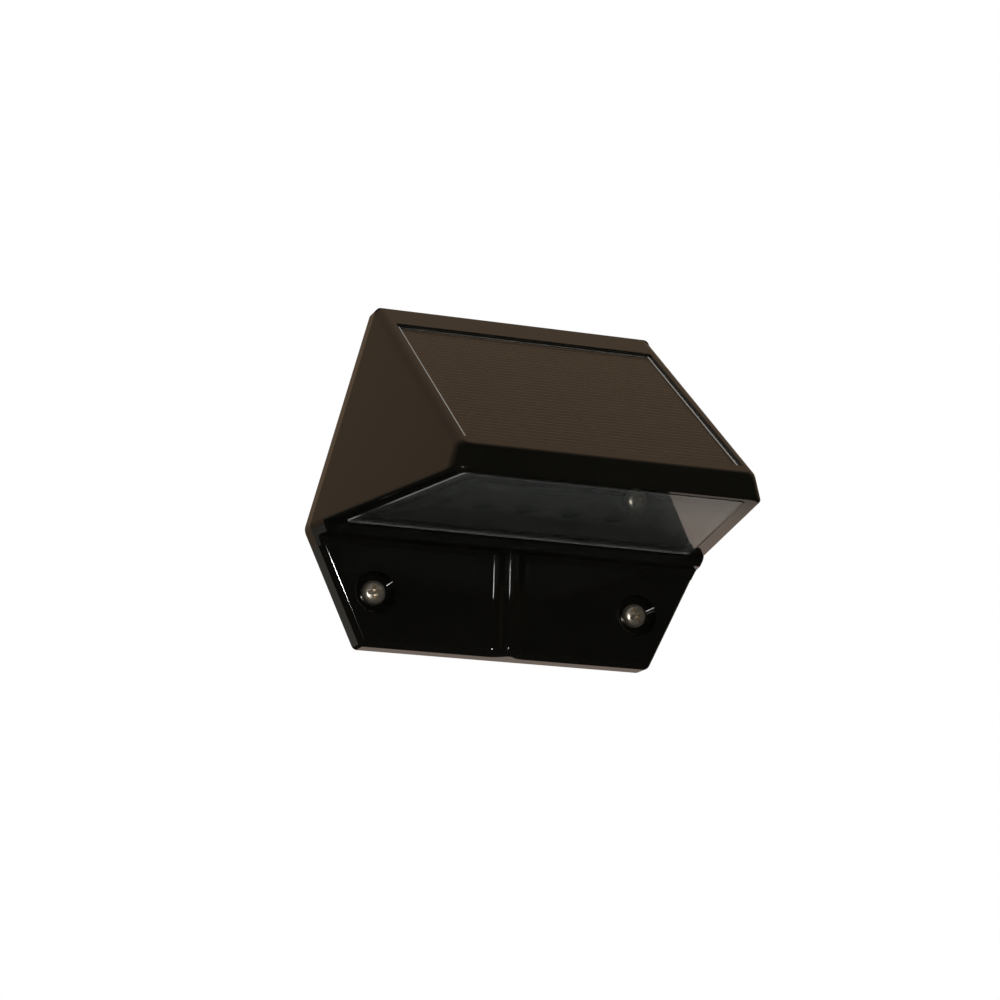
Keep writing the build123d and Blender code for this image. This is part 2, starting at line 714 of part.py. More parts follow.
with BuildPart() as door_gasket:
    with BuildSketch(Plane.XZ.offset(door_seat - door_gasket_thick)):
        with Locations((0, bay_rise)):
            RectangleRounded(door_length, door_height, door_corner_round - door_clearance)
            Rectangle(bay_length, bay_height, mode=Mode.SUBTRACT)
            with GridLocations(door_screw_pitch, 1, 2, 1):
                Circle(door_screw_width / 2 + board_screw_clearance, mode=Mode.SUBTRACT)
    extrude(amount=door_gasket_thick)
save(door_gasket, "door_gasket")

for number, side in enumerate((-1, 1), 1):
    with BuildPart(Plane.XZ.offset(cover_recess + door_screw_head_thick)) as screw:
        with Locations((side * door_screw_pitch / 2, bay_rise)):
            Cylinder(door_screw_head / 2, door_screw_head_thick, align=behind)
            Cylinder(door_screw_width / 2, door_screw_length, align=ahead)
    save(screw, f"door_screw_{number}")

# ---- battery and its two contacts
battery_end = contact_thick + contact_leaf + contact_gap - bay_length / 2

with BuildPart() as battery:
    with BuildSketch(Plane.YZ.offset(battery_end)):
        with Locations((-battery_axis, bay_rise)):
            Circle(battery_width / 2)
    extrude(amount=battery_length)
    with BuildSketch(Plane.YZ.offset(battery_end + battery_length)):
        with Locations((-battery_axis, bay_rise)):
            Circle(battery_tip_width / 2)
    extrude(amount=battery_tip_length)
save(battery, "battery")

with BuildPart() as leaf_contact:
    with BuildSketch(Plane.XY.offset(bay_rise)):
        with BuildLine():
            leaf_x = (contact_thick - bay_length) / 2
            FilletPolyline((leaf_x, -door_seat - contact_margin),
                           (leaf_x, contact_margin - bay_floor),
                           (leaf_x + contact_leaf, -battery_axis),
                           (leaf_x + contact_leaf / 3, -door_seat - 2 * contact_margin),
                           radius=2 * contact_thick)
        trace(line_width=contact_thick)
    extrude(amount=contact_height / 2, both=True)
save(leaf_contact, "leaf_contact")

with BuildPart() as plate_contact:
    with BuildSketch(Plane.YZ.offset(bay_length / 2 - contact_thick)):
        with Locations((-battery_axis, bay_rise)):
            Rectangle(battery_width - 2 * contact_margin, contact_height)
    extrude(amount=contact_thick)
save(plate_contact, "plate_contact")

# ---- control board, what stands on it, and its screws
with BuildPart() as control_board:
    with BuildSketch(Plane.XZ.offset(control_depth)):
        with Locations((0, control_rise)):
            Rectangle(control_length, control_height)
            with GridLocations(control_screw_pitch, 1, 2, 1):
                Circle(board_screw_width / 2 + board_screw_clearance, mode=Mode.SUBTRACT)
    extrude(amount=board_thick)
save(control_board, "control_board")

parts_plane = Plane.XZ.offset(control_depth + board_thick)

with BuildPart(parts_plane) as control_chip:
    with Locations((-part_pitch, control_rise)):
        Box(chip_length, chip_height, chip_thick, align=ahead)
save(control_chip, "control_chip")

with BuildPart(parts_plane) as control_coil:
    with Locations((0, control_rise)):
        Cylinder(coil_width / 2, coil_thick, align=ahead)
save(control_coil, "control_coil")

with BuildPart(parts_plane) as control_capacitor:
    with Locations((part_pitch, control_rise)):
        Cylinder(capacitor_width / 2, capacitor_thick, align=ahead)
save(control_capacitor, "control_capacitor")

for number, side in enumerate((-1, 1), 1):
    with BuildPart(parts_plane) as screw:
        with Locations((side * control_screw_pitch / 2, control_rise)):
            Cylinder(board_screw_head / 2, board_screw_head_thick, align=ahead)
            Cylinder(board_screw_width / 2, board_screw_length, align=behind)
    save(screw, f"control_screw_{number}")

# ---- slide switch: its body on the board, and its slider, which reaches into the cover's slot
with BuildPart() as switch_body:
    with BuildSketch(Plane.XZ.offset(switch_depth)):
        with Locations((0, control_rise)):
            Rectangle(switch_length, switch_height)
    extrude(amount=control_depth - switch_depth)
    with BuildSketch(Plane.XZ.offset(switch_depth)):
        with Locations((0, control_rise)):
            Rectangle(slot_length, slot_height)
    extrude(amount=switch_pocket, mode=Mode.SUBTRACT)
save(switch_body, "switch_body")

with BuildPart(Plane.XZ.offset(slider_tip_depth)) as switch_slider:
    with Locations((slider_x, control_rise)):
        Box(slider_length, slider_height,
            switch_depth + switch_pocket - slider_clearance - slider_tip_depth, align=ahead)
save(switch_slider, "switch_slider")
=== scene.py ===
import math

import bmesh
import bpy
from mathutils import Matrix, Vector


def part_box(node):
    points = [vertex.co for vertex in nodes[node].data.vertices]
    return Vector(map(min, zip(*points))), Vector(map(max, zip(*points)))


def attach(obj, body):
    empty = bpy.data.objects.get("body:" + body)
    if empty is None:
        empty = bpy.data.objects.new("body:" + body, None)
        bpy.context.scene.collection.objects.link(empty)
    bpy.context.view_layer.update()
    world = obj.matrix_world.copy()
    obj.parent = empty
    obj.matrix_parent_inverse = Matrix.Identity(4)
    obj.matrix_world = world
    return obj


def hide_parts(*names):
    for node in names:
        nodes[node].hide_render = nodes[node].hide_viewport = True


# Looks of a solar fence light: glossy dark bronze casting, solar panel on the slope,
# prismatic lens underneath. Everything is in metres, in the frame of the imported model:
# X runs along the fence, -Y is the front and Z is up.

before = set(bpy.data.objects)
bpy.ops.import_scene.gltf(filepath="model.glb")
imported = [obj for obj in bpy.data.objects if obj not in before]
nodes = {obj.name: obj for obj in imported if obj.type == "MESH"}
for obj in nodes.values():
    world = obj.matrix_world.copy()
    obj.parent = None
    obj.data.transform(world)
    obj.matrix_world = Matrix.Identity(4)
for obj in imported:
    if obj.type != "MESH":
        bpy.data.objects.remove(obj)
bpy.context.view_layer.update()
mm = 0.001
print("frame loaded,", len(nodes), "nodes")


# small helpers for shader nodes

def place(tree, kind, **settings):
    node = tree.nodes.new(kind)
    for key, value in settings.items():
        setattr(node, key, value)
    return node


def feed(tree, source, target):
    # source is a socket or a plain value
    if isinstance(source, bpy.types.NodeSocket):
        tree.links.new(source, target)
    else:
        target.default_value = source


def compute(tree, operation, first, second=0.0, third=None, clamp=False):
    node = place(tree, "ShaderNodeMath", operation=operation, use_clamp=clamp)
    feed(tree, first, node.inputs[0])
    feed(tree, second, node.inputs[1])
    if third is not None:
        feed(tree, third, node.inputs[2])
    return node.outputs[0]


def blendColour(tree, amount, first, second):
    node = place(tree, "ShaderNodeMix", data_type="RGBA")
    feed(tree, amount, node.inputs[0])
    feed(tree, first, node.inputs[6])
    feed(tree, second, node.inputs[7])
    return node.outputs[2]


def ramp(tree, value, low, high, outLow=0.0, outHigh=1.0):
    # value from low to high becomes outLow to outHigh, and stays within them
    node = place(tree, "ShaderNodeMapRange", clamp=True)
    feed(tree, value, node.inputs["Value"])
    limits = {"From Min": low, "From Max": high, "To Min": outLow, "To Max": outHigh}
    for label, limit in limits.items():
        feed(tree, limit, node.inputs[label])
    return node.outputs["Result"]


def noise(tree, vector, scale, detail=2.0, roughness=0.5):
    node = place(tree, "ShaderNodeTexNoise")
    feed(tree, vector, node.inputs["Vector"])
    feed(tree, scale, node.inputs["Scale"])
    node.inputs["Detail"].default_value = detail
    node.inputs["Roughness"].default_value = roughness
    return node.outputs["Fac"]


def cells(tree, vector, scale):
    node = place(tree, "ShaderNodeTexVoronoi", feature="F1")
    feed(tree, vector, node.inputs["Vector"])
    feed(tree, scale, node.inputs["Scale"])
    return node.outputs


def along(tree, vector, direction):
    # how far a point lies in a direction
    node = place(tree, "ShaderNodeVectorMath", operation="DOT_PRODUCT")
    feed(tree, vector, node.inputs[0])
    node.inputs[1].default_value = direction
    return node.outputs["Value"]


def here(tree):
    return place(tree, "ShaderNodeTexCoord").outputs["Object"]


def newGroup(name, inputs, outputs):
    group = bpy.data.node_groups.new(name, "ShaderNodeTree")
    for label, value in inputs.items():
        socket = group.interface.new_socket(name=label, in_out="INPUT", socket_type="NodeSocketFloat")
        socket.default_value = value
    for label in outputs:
        group.interface.new_socket(name=label, in_out="OUTPUT", socket_type="NodeSocketFloat")
    return group, place(group, "NodeGroupInput").outputs, place(group, "NodeGroupOutput").inputs


def useGroup(tree, group, **values):
    node = place(tree, "ShaderNodeGroup", node_tree=group)
    for label, value in values.items():
        feed(tree, value, node.inputs[label])
    return node.outputs


# effects that several materials share

toneBand = (0.3, 0.7)                      # the part of a noise that a tone is spread over

# coat: slow waves and fine orange peel of sprayed or powder coats
coatEffect = {"waveScale": 90.0, "peelScale": 900.0, "peelShare": 0.4, "toneScale": 22.0}
coatInputs = {"Wave Scale": coatEffect["waveScale"], "Peel Scale": coatEffect["peelScale"],
              "Peel Share": coatEffect["peelShare"]}
coatGroup, given, put = newGroup("sprayedCoat", coatInputs, ("Height", "Tone"))
spot = here(coatGroup)
waves = noise(coatGroup, spot, given["Wave Scale"], detail=1.0)
peel = noise(coatGroup, spot, given["Peel Scale"])
feed(coatGroup, compute(coatGroup, "MULTIPLY_ADD", peel, given["Peel Share"], waves), put["Height"])
tone = noise(coatGroup, spot, coatEffect["toneScale"], detail=3.0)
feed(coatGroup, ramp(coatGroup, tone, *toneBand), put["Tone"])

# moulded: spark-eroded grain of moulded plastic
grainEffect = {"scale": 1600.0, "detail": 3.0, "roughness": 0.6, "band": (0.35, 0.65), "toneScale": 60.0}
grainGroup, given, put = newGroup("mouldGrain", {"Scale": grainEffect["scale"]}, ("Height", "Tone"))
spot = here(grainGroup)
fine = noise(grainGroup, spot, given["Scale"], grainEffect["detail"], grainEffect["roughness"])
feed(grainGroup, ramp(grainGroup, fine, *grainEffect["band"]), put["Height"])
tone = noise(grainGroup, spot, grainEffect["toneScale"], detail=3.0)
feed(grainGroup, ramp(grainGroup, tone, *toneBand), put["Tone"])

# worn: small rubbed or tarnished patches on plated metal
wornEffect = {
    "scale": 700.0, "cover": 0.5, "detail": 5.0, "roughness": 0.65, "fineScale": 2600.0,
    "soft": 0.08,                          # half the width of a patch's faded edge
}
wornInputs = {"Scale": wornEffect["scale"], "Cover": wornEffect["cover"]}
wornGroup, given, put = newGroup("wornPlating", wornInputs, ("Patch", "Height"))
spot = here(wornGroup)
patches = noise(wornGroup, spot, given["Scale"], wornEffect["detail"], wornEffect["roughness"])
edge = compute(wornGroup, "SUBTRACT", 1.0, given["Cover"])
edgeLow = compute(wornGroup, "SUBTRACT", edge, wornEffect["soft"])
edgeHigh = compute(wornGroup, "ADD", edge, wornEffect["soft"])
feed(wornGroup, ramp(wornGroup, patches, edgeLow, edgeHigh), put["Patch"])
feed(wornGroup, noise(wornGroup, spot, wornEffect["fineScale"]), put["Height"])

# dust: a thin film and a few settled specks, thicker on what faces up
dustEffect = {
    "scale": 420.0, "amount": 0.5,
    "speck": (0.06, 0.02),                 # distance from a cell's centre where a speck starts and is full
    "chosen": (0.93, 0.95),                # only cells with a value above this have a speck
    "facing": (-0.2, 0.9), "least": 0.15,  # how far up a face looks, and what stays on one that doesn't
    "filmScale": 35.0, "filmDetail": 4.0, "filmBand": (0.5, 0.8), "film": 0.12,
}
dustInputs = {"Scale": dustEffect["scale"], "Amount": dustEffect["amount"]}
dustGroup, given, put = newGroup("settledDust", dustInputs, ("Mask",))
spot = here(dustGroup)
speckMap = cells(dustGroup, spot, given["Scale"])
specks = ramp(dustGroup, speckMap["Distance"], *dustEffect["speck"])
chosen = ramp(dustGroup, along(dustGroup, speckMap["Color"], (1, 0, 0)), *dustEffect["chosen"])
facing = along(dustGroup, place(dustGroup, "ShaderNodeNewGeometry").outputs["Normal"], (0, 0, 1))
lying = ramp(dustGroup, facing, *dustEffect["facing"], dustEffect["least"], 1.0)
film = noise(dustGroup, spot, dustEffect["filmScale"], dustEffect["filmDetail"])
film = ramp(dustGroup, film, *dustEffect["filmBand"], 0.0, dustEffect["film"])
settled = compute(dustGroup, "MULTIPLY", compute(dustGroup, "MULTIPLY_ADD", specks, chosen, film), lying)
feed(dustGroup, compute(dustGroup, "MULTIPLY", settled, given["Amount"], clamp=True), put["Mask"])
print("effects ready")


# materials

def newMaterial(name, **plain):
    # a Principled material, with the values that are the same all over
    material = bpy.data.materials.new(name)
    material.use_nodes = True
    tree = material.node_tree
    shader = tree.nodes["Principled BSDF"]
    for label, value in plain.items():
        shader.inputs[label.replace("_", " ")].default_value = value
    return material, tree, shader.inputs


def bump(tree, height, shader, strength, depth):
    node = place(tree, "ShaderNodeBump")
    node.inputs["Strength"].default_value = strength
    node.inputs["Distance"].default_value = depth
    feed(tree, height, node.inputs["Height"])
    feed(tree, node.outputs["Normal"], shader["Normal"])


# powder coat of the casting
casting = {
    "index": 1.5, "dark": (0.0038, 0.0037, 0.0028, 1), "light": (0.0050, 0.0048, 0.0037, 1),
    "roughLow": 0.03, "roughHigh": 0.055,
    "dust": (0.10, 0.09, 0.075, 1), "dustAmount": 0.25, "dustRough": 0.5,
    "waveScale": 120.0, "peelScale": 900.0, "bump": 0.03, "bumpDepth": 0.1 * mm,
}
castPaint, tree, shader = newMaterial("bronzePowderCoat", IOR=casting["index"])
coatValues = {"Wave Scale": casting["waveScale"], "Peel Scale": casting["peelScale"]}
coat = useGroup(tree, coatGroup, **coatValues)
dusty = useGroup(tree, dustGroup, Amount=casting["dustAmount"])["Mask"]
tone = blendColour(tree, coat["Tone"], casting["dark"], casting["light"])
feed(tree, blendColour(tree, dusty, tone, casting["dust"]), shader["Base Color"])
rough = ramp(tree, coat["Tone"], 0.0, 1.0, casting["roughLow"], casting["roughHigh"])
feed(tree, compute(tree, "MULTIPLY_ADD", dusty, casting["dustRough"], rough), shader["Roughness"])
bump(tree, coat["Height"], shader, casting["bump"], casting["bumpDepth"])

# clear cover over the cells
clearCover = {
    "index": 1.25, "tint": (0.66, 0.65, 0.62, 1), "rough": 0.05,
    "dust": (0.75, 0.73, 0.70, 1), "dustAmount": 0.5, "dustScale": 300.0, "dustRough": 0.35,
}
panelGlass, tree, shader = newMaterial("panelCover", IOR=clearCover["index"], Transmission_Weight=1.0)
dusty = useGroup(tree, dustGroup, Amount=clearCover["dustAmount"], Scale=clearCover["dustScale"])["Mask"]
feed(tree, blendColour(tree, dusty, clearCover["tint"], clearCover["dust"]), shader["Base Color"])
rough = compute(tree, "MULTIPLY_ADD", dusty, clearCover["dustRough"], clearCover["rough"])
feed(tree, rough, shader["Roughness"])

# pale cut edge of the cover and the two lines along its sides: the lines are a painted highlight, standing in
# for the glint along the panel's side edges, and the cut edge's pale colour is partly its own and partly the
# same painted highlight
edgeAndGlintLook = {
    "index": 1.49, "pale": (0.34, 0.33, 0.31, 1), "paler": (0.46, 0.45, 0.42, 1),
    "roughLow": 0.35, "roughHigh": 0.5, "grainScale": 2400.0, "bump": 0.2, "bumpDepth": 0.03 * mm,
}
cutEdgeAndPaintedGlint, tree, shader = newMaterial("coverCutEdgeAndPaintedGlint", IOR=edgeAndGlintLook["index"])
sawn = useGroup(tree, grainGroup, Scale=edgeAndGlintLook["grainScale"])
feed(tree, blendColour(tree, sawn["Height"], edgeAndGlintLook["pale"], edgeAndGlintLook["paler"]), shader["Base Color"])
rough = ramp(tree, sawn["Tone"], 0.0, 1.0, edgeAndGlintLook["roughLow"], edgeAndGlintLook["roughHigh"])
feed(tree, rough, shader["Roughness"])
bump(tree, sawn["Height"], shader, edgeAndGlintLook["bump"], edgeAndGlintLook["bumpDepth"])


def valleyMask(tree, settings):
    # 1 along the valleys between the diamonds, 0 elsewhere
    valleys = []
    for direction in ((1, 1, 0), (1, -1, 0)):
        turn = compute(tree, "DIVIDE", along(tree, here(tree), direction), settings["pitch"])
        offset = compute(tree, "ABSOLUTE", compute(tree, "SUBTRACT", compute(tree, "FRACT", turn), 0.5))
        valleys.append(ramp(tree, offset, *settings["valleyEdge"]))
    return compute(tree, "MAXIMUM", *valleys)


def lensMaterial(name, settings):
    # moulded clear plastic with a cloudy tint; valleys, if it has any, are greyer, which is painted shade in
    # the creases between the prisms
    material, tree, shader = newMaterial(name, IOR=settings["index"], Transmission_Weight=1.0)
    spread = useGroup(tree, grainGroup, Scale=settings["grainScale"])["Tone"]
    tint = blendColour(tree, spread, settings["tint"], settings["tintDeep"])
    if "valleyShade" in settings:
        spread = valleyMask(tree, settings)
        # the valley tint is painted shade along the creases between the diamonds
        tint = blendColour(tree, spread, tint, settings["valleyShade"])
    feed(tree, tint, shader["Base Color"])
    feed(tree, ramp(tree, spread, 0.0, 1.0, settings["roughLow"], settings["roughHigh"]), shader["Roughness"])
    return material


# lens: glossy underside, prisms that are rougher in their valleys and greyer there as painted shade, and a
# grey rim
smoky = {
    "index": 1.49, "tint": (0.70, 0.73, 0.70, 1), "tintDeep": (0.64, 0.67, 0.65, 1),
    "roughLow": 0.02, "roughHigh": 0.04, "grainScale": 500.0,
}
# the prisms: rougher than the underside, with painted shade in their valleys
frostedWithValleyShade = dict(smoky, roughLow=0.12, roughHigh=0.2, grainScale=900.0,
               pitch=1.4 * mm, valleyEdge=(0.10, 0.02), valleyShade=(0.30, 0.31, 0.30, 1))
lensRim = dict(smoky, tint=(0.14, 0.145, 0.14, 1), tintDeep=(0.22, 0.225, 0.22, 1),
               roughLow=0.14, roughHigh=0.182, grainScale=900.0)
lensGlass = lensMaterial("prismLens", smoky)
prismGlass = lensMaterial("prismFaces", frostedWithValleyShade)
lensEdge = lensMaterial("lensEdge", lensRim)

# solar cells: dark crystals with fine printed lines across the slope
slopeAngle = math.radians(35.5)            # of the panel, below level
cellLook = {
    "index": 1.15, "silicon": (0.0120, 0.0125, 0.0180, 1), "siliconLight": (0.0200, 0.0200, 0.0280, 1),
    "roughLow": 0.28, "roughHigh": 0.40, "crystalScale": 260.0,
    "finger": (0.30, 0.28, 0.25, 1), "fingerPitch": 2.45 * mm, "fingerWidth": 0.16 * mm,
    "slope": (0.0, -math.cos(slopeAngle), -math.sin(slopeAngle)),
}
cellFace, tree, shader = newMaterial("solarCell", IOR=cellLook["index"])
spot = here(tree)
down = along(tree, spot, cellLook["slope"])
turn = compute(tree, "FRACT", compute(tree, "DIVIDE", down, cellLook["fingerPitch"]))
line = compute(tree, "LESS_THAN", turn, cellLook["fingerWidth"] / cellLook["fingerPitch"])
crystal = cells(tree, spot, cellLook["crystalScale"])
flake = along(tree, crystal["Color"], (0.5, 0.5, 0.0))    # the mean of two random numbers
silicon = blendColour(tree, flake, cellLook["silicon"], cellLook["siliconLight"])
feed(tree, blendColour(tree, line, silicon, cellLook["finger"]), shader["Base Color"])
feed(tree, line, shader["Metallic"])
feed(tree, ramp(tree, flake, 0.0, 1.0, cellLook["roughLow"], cellLook["roughHigh"]), shader["Roughness"])

boardLook = {
    "traceScale": 55.0, "weaveScale": 1200.0, "weaveShare": 0.6, "roughLow": 0.25, "roughHigh": 0.4,
    "bump": 0.2, "bumpDepth": 0.04 * mm,
}


def boardMaterial(name, dark, light):
    # glass-fibre board with traces under its coating
    material, tree, shader = newMaterial(name, IOR=1.5)
    spot = here(tree)
    grid = place(tree, "ShaderNodeTexBrick")
    feed(tree, spot, grid.inputs["Vector"])
    grid.inputs["Scale"].default_value = boardLook["traceScale"]
    traces = grid.outputs["Fac"]
    weave = noise(tree, spot, boardLook["weaveScale"], detail=1.0)
    shown = compute(tree, "MAXIMUM", traces, compute(tree, "MULTIPLY", weave, boardLook["weaveShare"]))
    feed(tree, blendColour(tree, shown, dark, light), shader["Base Color"])
    rough = ramp(tree, weave, *toneBand, boardLook["roughLow"], boardLook["roughHigh"])
    feed(tree, rough, shader["Roughness"])
    bump(tree, traces, shader, boardLook["bump"], boardLook["bumpDepth"])
    return material


boardGreen = boardMaterial("circuitBoard", (0.010, 0.045, 0.020, 1), (0.016, 0.065, 0.030, 1))
backingBlack = boardMaterial("cellBacking", (0.004, 0.004, 0.005, 1), (0.007, 0.007, 0.008, 1))


def plasticMaterial(name, dark, light, roughLow, roughHigh, grainScale=1600.0, strength=0.25,
                    bumpDepth=0.04 * mm):
    material, tree, shader = newMaterial(name, IOR=1.5)
    grain = useGroup(tree, grainGroup, Scale=grainScale)
    feed(tree, blendColour(tree, grain["Tone"], dark, light), shader["Base Color"])
    feed(tree, ramp(tree, grain["Tone"], 0.0, 1.0, roughLow, roughHigh), shader["Roughness"])
    bump(tree, grain["Height"], shader, strength, bumpDepth)
    return material


plasticLooks = {
    "blackCover": {"dark": (0.010, 0.010, 0.010, 1), "light": (0.016, 0.016, 0.016, 1),
                   "roughLow": 0.42, "roughHigh": 0.55},
    "blackParts": {"dark": (0.012, 0.012, 0.013, 1), "light": (0.02, 0.02, 0.02, 1),
                   "roughLow": 0.35, "roughHigh": 0.45, "grainScale": 2200.0},
    "whitePlastic": {"dark": (0.62, 0.62, 0.60, 1), "light": (0.70, 0.70, 0.67, 1),
                     "roughLow": 0.35, "roughHigh": 0.45},
    "reflectorPlastic": {"dark": (0.075, 0.080, 0.073, 1), "light": (0.095, 0.100, 0.092, 1),
                         "roughLow": 0.3, "roughHigh": 0.4},
    "sealRubber": {"dark": (0.012, 0.012, 0.012, 1), "light": (0.02, 0.02, 0.02, 1),
                   "roughLow": 0.7, "roughHigh": 0.85, "grainScale": 900.0, "bumpDepth": 0.08 * mm},
    "batterySleeve": {"dark": (0.02, 0.08, 0.035, 1), "light": (0.03, 0.11, 0.05, 1),
                      "roughLow": 0.25, "roughHigh": 0.35, "grainScale": 400.0},
    "silicone": {"dark": (0.10, 0.105, 0.10, 1), "light": (0.14, 0.145, 0.14, 1),
                 "roughLow": 0.3, "roughHigh": 0.42, "grainScale": 700.0, "bumpDepth": 0.06 * mm},
    "copperWinding": {"dark": (0.16, 0.05, 0.02, 1), "light": (0.28, 0.09, 0.03, 1),
                      "roughLow": 0.3, "roughHigh": 0.4, "grainScale": 3000.0},
}
plastics = {name: plasticMaterial(name, **settings) for name, settings in plasticLooks.items()}


def metalMaterial(name, bright, dull, roughLow, roughHigh, cover, metalBright=1.0, metalDull=0.85,
                  strength=0.12, bumpDepth=0.03 * mm):
    # cover is the share of it that is dull
    material, tree, shader = newMaterial(name, IOR=1.5)
    worn = useGroup(tree, wornGroup, Cover=cover)
    feed(tree, blendColour(tree, worn["Patch"], bright, dull), shader["Base Color"])
    feed(tree, ramp(tree, worn["Patch"], 0.0, 1.0, metalBright, metalDull), shader["Metallic"])
    feed(tree, ramp(tree, worn["Patch"], 0.0, 1.0, roughLow, roughHigh), shader["Roughness"])
    bump(tree, worn["Height"], shader, strength, bumpDepth)
    return material


metalLooks = {
    "platedScrew": {"bright": (0.80, 0.71, 0.57, 1), "dull": (0.40, 0.33, 0.23, 1), "roughLow": 0.28,
                    "roughHigh": 0.44, "cover": 0.34, "metalBright": 0.92, "metalDull": 0.74},
    "plainSteel": {"bright": (0.55, 0.55, 0.56, 1), "dull": (0.38, 0.38, 0.39, 1),
                   "roughLow": 0.24, "roughHigh": 0.36, "cover": 0.4},
    "springContact": {"bright": (0.62, 0.60, 0.55, 1), "dull": (0.45, 0.43, 0.39, 1),
                      "roughLow": 0.2, "roughHigh": 0.3, "cover": 0.35},
}
metals = {name: metalMaterial(name, **settings) for name, settings in metalLooks.items()}

# clear resin of the lamps
resin = {"index": 1.53, "rough": 0.03, "tint": (0.96, 0.95, 0.90, 1), "tintDeep": (0.92, 0.91, 0.84, 1),
         "grainScale": 300.0}
epoxy, tree, shader = newMaterial("lampEpoxy", IOR=resin["index"], Transmission_Weight=1.0,
                                  Roughness=resin["rough"])
grain = useGroup(tree, grainGroup, Scale=resin["grainScale"])
feed(tree, blendColour(tree, grain["Tone"], resin["tint"], resin["tintDeep"]), shader["Base Color"])

looks = {
    "housing": castPaint, "solar_cover": panelGlass, "solar_backing": backingBlack,
    "panel_pad": plastics["sealRubber"], "lens": lensGlass, "lens_bead": plastics["silicone"],
    "reflector": plastics["reflectorPlastic"], "led_board": boardGreen,
    "back_cover": plastics["blackCover"], "back_gasket": plastics["sealRubber"],
    "battery_door": plastics["blackCover"], "door_gasket": plastics["sealRubber"],
    "battery": plastics["batterySleeve"], "leaf_contact": metals["springContact"],
    "plate_contact": metals["springContact"], "control_board": boardGreen,
    "control_chip": plastics["blackParts"], "control_coil": plastics["copperWinding"],
    "control_capacitor": plastics["blackParts"], "switch_body": metals["plainSteel"],
    "switch_slider": plastics["whitePlastic"],
}
for nodeName, thing in nodes.items():
    look = cellFace if nodeName.startswith("solar_cell") else looks.get(nodeName, metals["plainSteel"])
    thing.data.materials.clear()
    thing.data.materials.append(look)
print("materials placed")


# pieces in mesh code

sameSpot = 0.002 * mm                      # points of a rim that are closer are one
onLevel = 0.01 * mm                        # points this close to a level lie on it
weldGap = 1e-7                             # points of a piece that are closer are one, in metres
flatSharp, screwSharp, lampSharp = 10, 32, 40    # an edge is sharp above this many degrees between faces


def asObject(mesh, name):
    # an object of a bmesh, which is then done with
    data = bpy.data.meshes.new(name)
    mesh.to_mesh(data)
    mesh.free()
    thing = bpy.data.objects.new(name, data)
    bpy.context.scene.collection.objects.link(thing)
    return thing


def weld(mesh):
    bmesh.ops.remove_doubles(mesh, verts=mesh.verts, dist=weldGap)
    bmesh.ops.recalc_face_normals(mesh, faces=mesh.faces)


def finishPiece(mesh, name, materials, sharpAngle, nodeName):
    # makes a piece of a bmesh, in place, which rides on the light and stands for a node
    weld(mesh)
    piece = asObject(mesh, name)
    piece.data.shade_smooth()
    piece.data.set_sharp_from_angle(angle=math.radians(sharpAngle))
    for material in materials:
        piece.data.materials.append(material)
    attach(piece, "light")
    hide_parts(nodeName)


def ringOf(mesh, radius, height, count):
    # level circle of points round the Z axis
    turns = [2 * math.pi * i / count for i in range(count)]
    return [mesh.verts.new((radius * math.cos(turn), radius * math.sin(turn), height)) for turn in turns]


def bridge(mesh, lower, upper, materialIndex=0):
    # faces between two rings of as many points, or between a ring and a single point
    count = max(len(lower), len(upper))
    for i in range(count):
        j = (i + 1) % count
        corners = [lower[i % len(lower)], lower[j % len(lower)], upper[j % len(upper)], upper[i % len(upper)]]
        mesh.faces.new(list(dict.fromkeys(corners))).material_index = materialIndex


def bridgeAll(mesh, rings, materialIndex=0):
    for lower, upper in zip(rings, rings[1:]):
        bridge(mesh, lower, upper, materialIndex)


def revolve(mesh, profile, segments):
    # turns (radius, height) pairs round the Z axis; a radius of 0 at an end closes it
    rings = []
    for radius, height in profile:
        rings.append(ringOf(mesh, radius, height, segments) if radius else [mesh.verts.new((0, 0, height))])
    bridgeAll(mesh, rings)


def orderedRim(spots, middle):
    # (x, y) points of a rim in order round its middle, without doubles
    spots = sorted(spots, key=lambda spot: math.atan2(spot[1] - middle[1], spot[0] - middle[0]))
    return [spot for i, spot in enumerate(spots) if math.dist(spot, spots[i - 1]) > sameSpot]


# (length, width, rise) of the cutter of a cross recess, as shares of its span, width and depth
crossLevels = ((1.12, 1.15, 0.15), (1.0, 1.0, 0.0), (0.42, 0.7, -1.0))


def cutCross(mesh, top, settings):
    # cuts a cross recess into the head that ends at height top, and returns the new bmesh
    body = asObject(mesh, "crossBlank")
    cutters = []
    for quarter in (0, 1):
        cutter = bmesh.new()
        rings = []
        for length, width, rise in crossLevels:
            half = settings["crossSpan"] / 2 * length
            wide = settings["crossWidth"] / 2 * width
            z = top + rise * settings["crossDepth"]
            rings.append([cutter.verts.new((x, y, z)) for x, y in
                          ((-half, -wide), (half, -wide), (half, wide), (-half, wide))])
        bridgeAll(cutter, rings)
        cutter.faces.new(rings[0])
        cutter.faces.new(rings[-1])
        bmesh.ops.recalc_face_normals(cutter, faces=cutter.faces)
        quarterTurn = Matrix.Rotation(math.pi / 2 * quarter, 3, "Z")
        bmesh.ops.rotate(cutter, verts=cutter.verts, matrix=quarterTurn)
        cutters.append(asObject(cutter, "crossCutter"))
    for cutter in cutters:
        change = body.modifiers.new("cross", "BOOLEAN")
        change.operation = "DIFFERENCE"
        change.solver = "EXACT"
        change.object = cutter
    bpy.context.view_layer.update()
    cut = bmesh.new()
    cut.from_mesh(body.evaluated_get(bpy.context.evaluated_depsgraph_get()).to_mesh())
    for thing in [body] + cutters:
        bpy.data.objects.remove(thing)
    return cut


# inset and lip are shares of a head's height, square and crown the powers that round it
headShape = {"inset": 0.05, "lip": 0.06, "square": 0.72, "crown": 0.9, "steps": 12}


